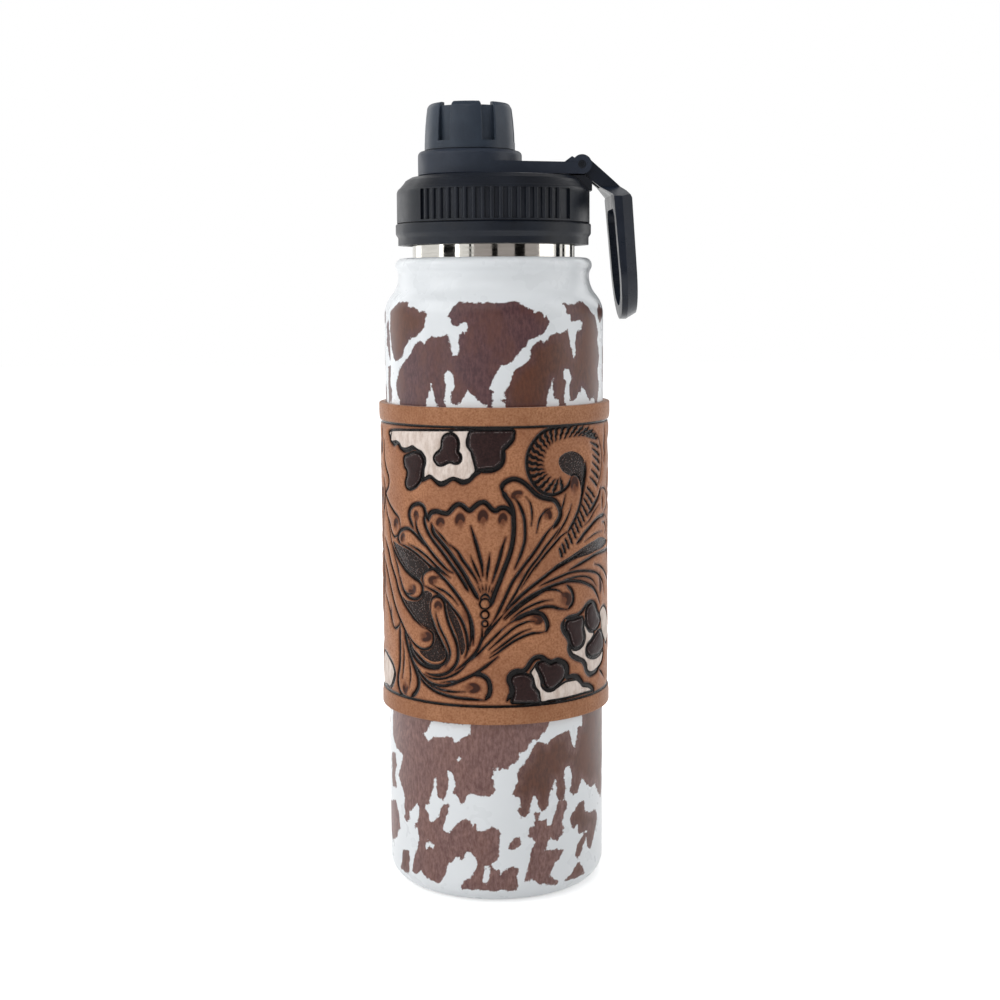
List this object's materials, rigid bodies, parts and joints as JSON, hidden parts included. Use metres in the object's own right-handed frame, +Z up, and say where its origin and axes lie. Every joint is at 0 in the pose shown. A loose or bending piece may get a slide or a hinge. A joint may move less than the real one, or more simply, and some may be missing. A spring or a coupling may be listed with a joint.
{
  "type": "insulated water bottle",
  "caption": "Insulated steel water bottle with cow-hide print, tooled leather sleeve, black screw lid, hinged spout cap and carry loop.",
  "frame": {"origin": "centre of the standing face, under the body's axis", "axes": "+Z up along the bottle, +X towards the lid's hinge and carry loop, +Y to the back seam of the sleeve"},
  "size_m": [0.0862, 0.0784, 0.2609],
  "materials": {
    "painted_steel": "satin white powder coat with a brown cow-hide print",
    "bare_steel": "polished stainless steel",
    "seal_button": "matt grey sealing button",
    "getter_metal": "dull sintered pill",
    "tooled_leather": "carved vegetable-tanned leather, dark antiqued cuts",
    "waxed_thread": "waxed brown thread",
    "silicone": "matt grey silicone",
    "foam": "cream closed-cell foam",
    "black_plastic": "satin black moulded plastic",
    "pin_plastic": "satin black pin",
    "spout_plastic": "satin black moulded plastic",
    "cap_plastic": "fine-textured matt black plastic",
    "loop_plastic": "satin black moulded plastic, worn gloss on the edges"
  },
  "bodies": {
    "bottle": {"outer_shell": "painted_steel", "base_pan": "bare_steel", "vacuum_seal": "seal_button", "getter": "getter_metal", "inner_liner": "bare_steel", "neck_ring": "bare_steel", "leather_sleeve": "tooled_leather", "seam_stitches": "waxed_thread"},
    "lid_seal_body": {"lid_gasket": "silicone"},
    "lid": {"lid_body": "black_plastic", "lid_insulation": "foam", "lid_floor": "black_plastic", "lid_collar": "black_plastic", "hinge_pin": "pin_plastic", "spout": "spout_plastic"},
    "flip_arm": {"cap_arm": "black_plastic"},
    "cap_seal_body": {"cap_gasket": "silicone"},
    "cap": {"spout_cap": "cap_plastic", "cap_cup": "black_plastic", "cap_retainer": "black_plastic"},
    "loop": {"carry_loop": "loop_plastic"}
  },
  "joints": [
    {"name": "lid_rise", "type": "slide", "parent": "bottle", "child": "lid_seal_body", "axis": [0, 0, 1], "range_m": [0, 0.012]},
    {"name": "lid_turn", "type": "hinge", "parent": "lid_seal_body", "child": "lid", "pos_m": [0, 0, 0.225], "axis": [0, 0, 1], "range_deg": [0, 540]},
    {"name": "arm_flip", "type": "hinge", "parent": "lid", "child": "flip_arm", "pos_m": [0.029, 0, 0.241], "axis": [0, 1, 0], "range_deg": [0, 100]},
    {"name": "cap_rise", "type": "slide", "parent": "flip_arm", "child": "cap_seal_body", "axis": [0, 0, 1], "range_m": [0, 0.002]},
    {"name": "cap_turn", "type": "hinge", "parent": "cap_seal_body", "child": "cap", "pos_m": [-0.00764, 0, 0.25], "axis": [0, 0, 1], "range_deg": [0, 180]},
    {"name": "loop_swing", "type": "hinge", "parent": "lid", "child": "loop", "pos_m": [0.029, 0, 0.241], "axis": [0, -1, 0], "range_deg": [0, 90]}
  ],
  "couplings": [
    {"joint": "lid_rise", "follows": "lid_turn", "m_per_rad": 0.0012732},
    {"joint": "cap_rise", "follows": "cap_turn", "m_per_rad": 0.00063662}
  ]
}
